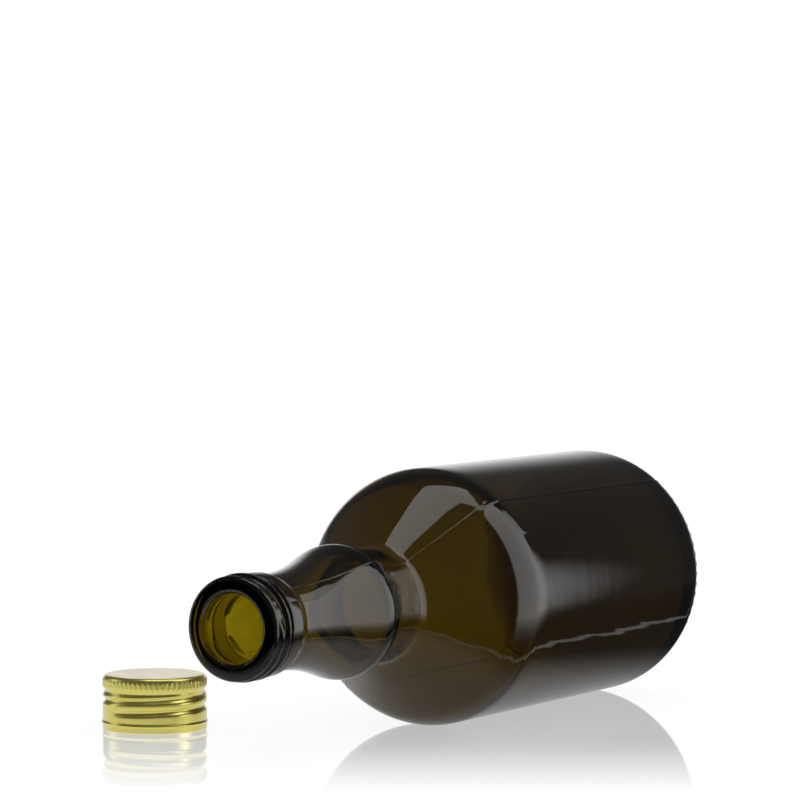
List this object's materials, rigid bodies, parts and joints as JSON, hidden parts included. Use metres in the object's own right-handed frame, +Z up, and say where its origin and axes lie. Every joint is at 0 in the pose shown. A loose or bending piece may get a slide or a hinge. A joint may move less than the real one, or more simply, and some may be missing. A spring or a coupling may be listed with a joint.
{
  "type": "glass bottle",
  "caption": "Empty dark olive glass screw-neck bottle with a bulged neck, lying on its side, and its knurled gold aluminium cap standing on its open rim beside the neck.",
  "frame": {"origin": "middle of the narrow flat under the bottle's body, on the surface it lies on", "axes": "+X along the bottle from its mouth towards its base, +Y towards the side where the cap stands, +Z up"},
  "size_m": [0.1962, 0.1081, 0.0689],
  "materials": {
    "glass": "dark antique olive glass, polished",
    "cap_metal": "satin gold lacquer on rolled aluminium"
  },
  "bodies": {
    "root": {"bottle": "glass", "cap": "cap_metal"}
  },
  "joints": []
}
